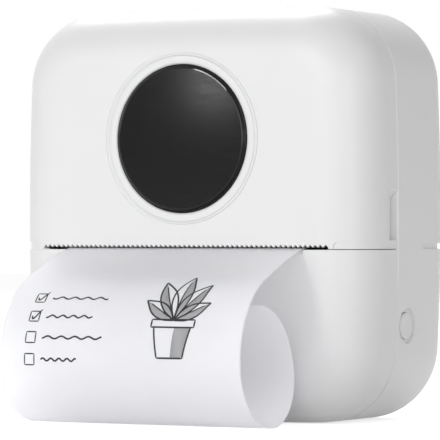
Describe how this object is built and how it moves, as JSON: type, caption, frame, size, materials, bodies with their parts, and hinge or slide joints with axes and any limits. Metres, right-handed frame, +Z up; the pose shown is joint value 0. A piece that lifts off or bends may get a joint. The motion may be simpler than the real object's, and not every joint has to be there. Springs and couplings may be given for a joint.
{
  "type": "pocket printer",
  "caption": "Rounded white pocket thermal printer with a black disc on its hinged cover and a curled paper strip.",
  "frame": {"origin": "on the flat of the base, midway across the body's width and depth", "axes": "+X to the right seen from the front, +Y towards the back, +Z up"},
  "size_m": [0.0862, 0.069, 0.088],
  "materials": {
    "shell_white": "white ABS, moulded with a fine satin spark finish",
    "disc_black": "black polycarbonate, polished",
    "inner_black": "black moulded polyamide",
    "gear_white": "natural acetal, moulded",
    "rubber_black": "ground silicone rubber",
    "steel_bright": "ground and zinc-plated steel",
    "steel_sheet": "pressed zinc-plated steel sheet",
    "heat_sink": "extruded aluminium",
    "head_ceramic": "glazed alumina",
    "paper_white": "smooth coated thermal paper",
    "core_plastic": "moulded grey polystyrene tube",
    "board_green": "solder-masked glass-epoxy board",
    "chip_black": "moulded epoxy packages",
    "battery_foil": "laminated aluminium foil pouch",
    "flex_amber": "polyimide flat cable",
    "tape_black": "double-sided foam tape"
  },
  "bodies": {
    "base": {"rear_shell": "shell_white", "lower_front_shell": "shell_white", "hinge_pin": "steel_bright", "paper_tub": "inner_black", "tub_screws": "steel_bright", "mechanism_frame": "steel_sheet", "frame_screws": "steel_bright", "gear_posts": "steel_bright", "drive_motor": "steel_sheet", "motor_screws": "steel_bright", "head_pivot": "steel_bright", "head_springs": "steel_bright", "paper_strip": "paper_white", "paper_sensor": "inner_black", "main_board": "board_green", "board_chips": "chip_black", "tact_switch": "inner_black", "usb_socket": "steel_bright", "usb_board": "board_green", "battery": "battery_foil", "head_flex": "flex_amber", "case_screws": "steel_bright"},
    "cover": {"cover_shell": "shell_white", "front_disc": "disc_black", "disc_tape": "tape_black", "platen_carrier": "inner_black", "carrier_screws": "steel_bright", "platen_bushes": "inner_black"},
    "platen": {"platen_roller": "rubber_black", "platen_shaft": "steel_bright", "platen_gear": "gear_white"},
    "idler": {"idler_gear": "gear_white"},
    "reduction": {"reduction_gear": "gear_white"},
    "motor_rotor": {"motor_pinion": "gear_white"},
    "paper_supply": {"paper_roll": "paper_white", "roll_core": "core_plastic"},
    "print_head": {"thermal_head": "head_ceramic", "head_heatsink": "heat_sink", "head_bracket": "steel_sheet"},
    "button": {"power_button": "shell_white", "switch_plunger": "inner_black"}
  },
  "joints": [
    {"name": "cover_hinge", "type": "hinge", "parent": "base", "child": "cover", "pos_m": [0, -0.004, 0.0858], "axis": [-1, 0, 0], "range_deg": [0, 90]},
    {"name": "paper_roll_spin", "type": "hinge", "parent": "base", "child": "paper_supply", "pos_m": [0, -0.0017, 0.06428], "axis": [1, 0, 0], "continuous": true},
    {"name": "platen_spin", "type": "hinge", "parent": "cover", "child": "platen", "pos_m": [0, -0.01284, 0.04309], "axis": [1, 0, 0], "continuous": true},
    {"name": "idler_spin", "type": "hinge", "parent": "base", "child": "idler", "pos_m": [-0.0345, -0.00555, 0.0374], "axis": [1, 0, 0], "continuous": true},
    {"name": "reduction_spin", "type": "hinge", "parent": "base", "child": "reduction", "pos_m": [-0.036, -0.00356, 0.03043], "axis": [1, 0, 0], "continuous": true},
    {"name": "motor_spin", "type": "hinge", "parent": "base", "child": "motor_rotor", "pos_m": [-0.034, -0.00138, 0.02021], "axis": [1, 0, 0], "continuous": true},
    {"name": "head_tilt", "type": "hinge", "parent": "base", "child": "print_head", "pos_m": [0, -0.00148, 0.03792], "axis": [1, 0, 0], "range_deg": [0, 2], "stiffness_Nm_per_rad": 0.2, "springref_deg": -5.73, "deforming": ["head_springs"]},
    {"name": "power_press", "type": "slide", "parent": "base", "child": "button", "axis": [-1, 0, 0], "range_m": [0, 0.0004], "stiffness_N_per_m": 1500, "springref_m": -0.0002}
  ],
  "couplings": [
    {"joint": "platen_spin", "follows": "paper_roll_spin", "ratio": -3.6806},
    {"joint": "idler_spin", "follows": "paper_roll_spin", "ratio": 4.0152},
    {"joint": "reduction_spin", "follows": "paper_roll_spin", "ratio": -6.3095},
    {"joint": "motor_spin", "follows": "paper_roll_spin", "ratio": 21.032}
  ]
}
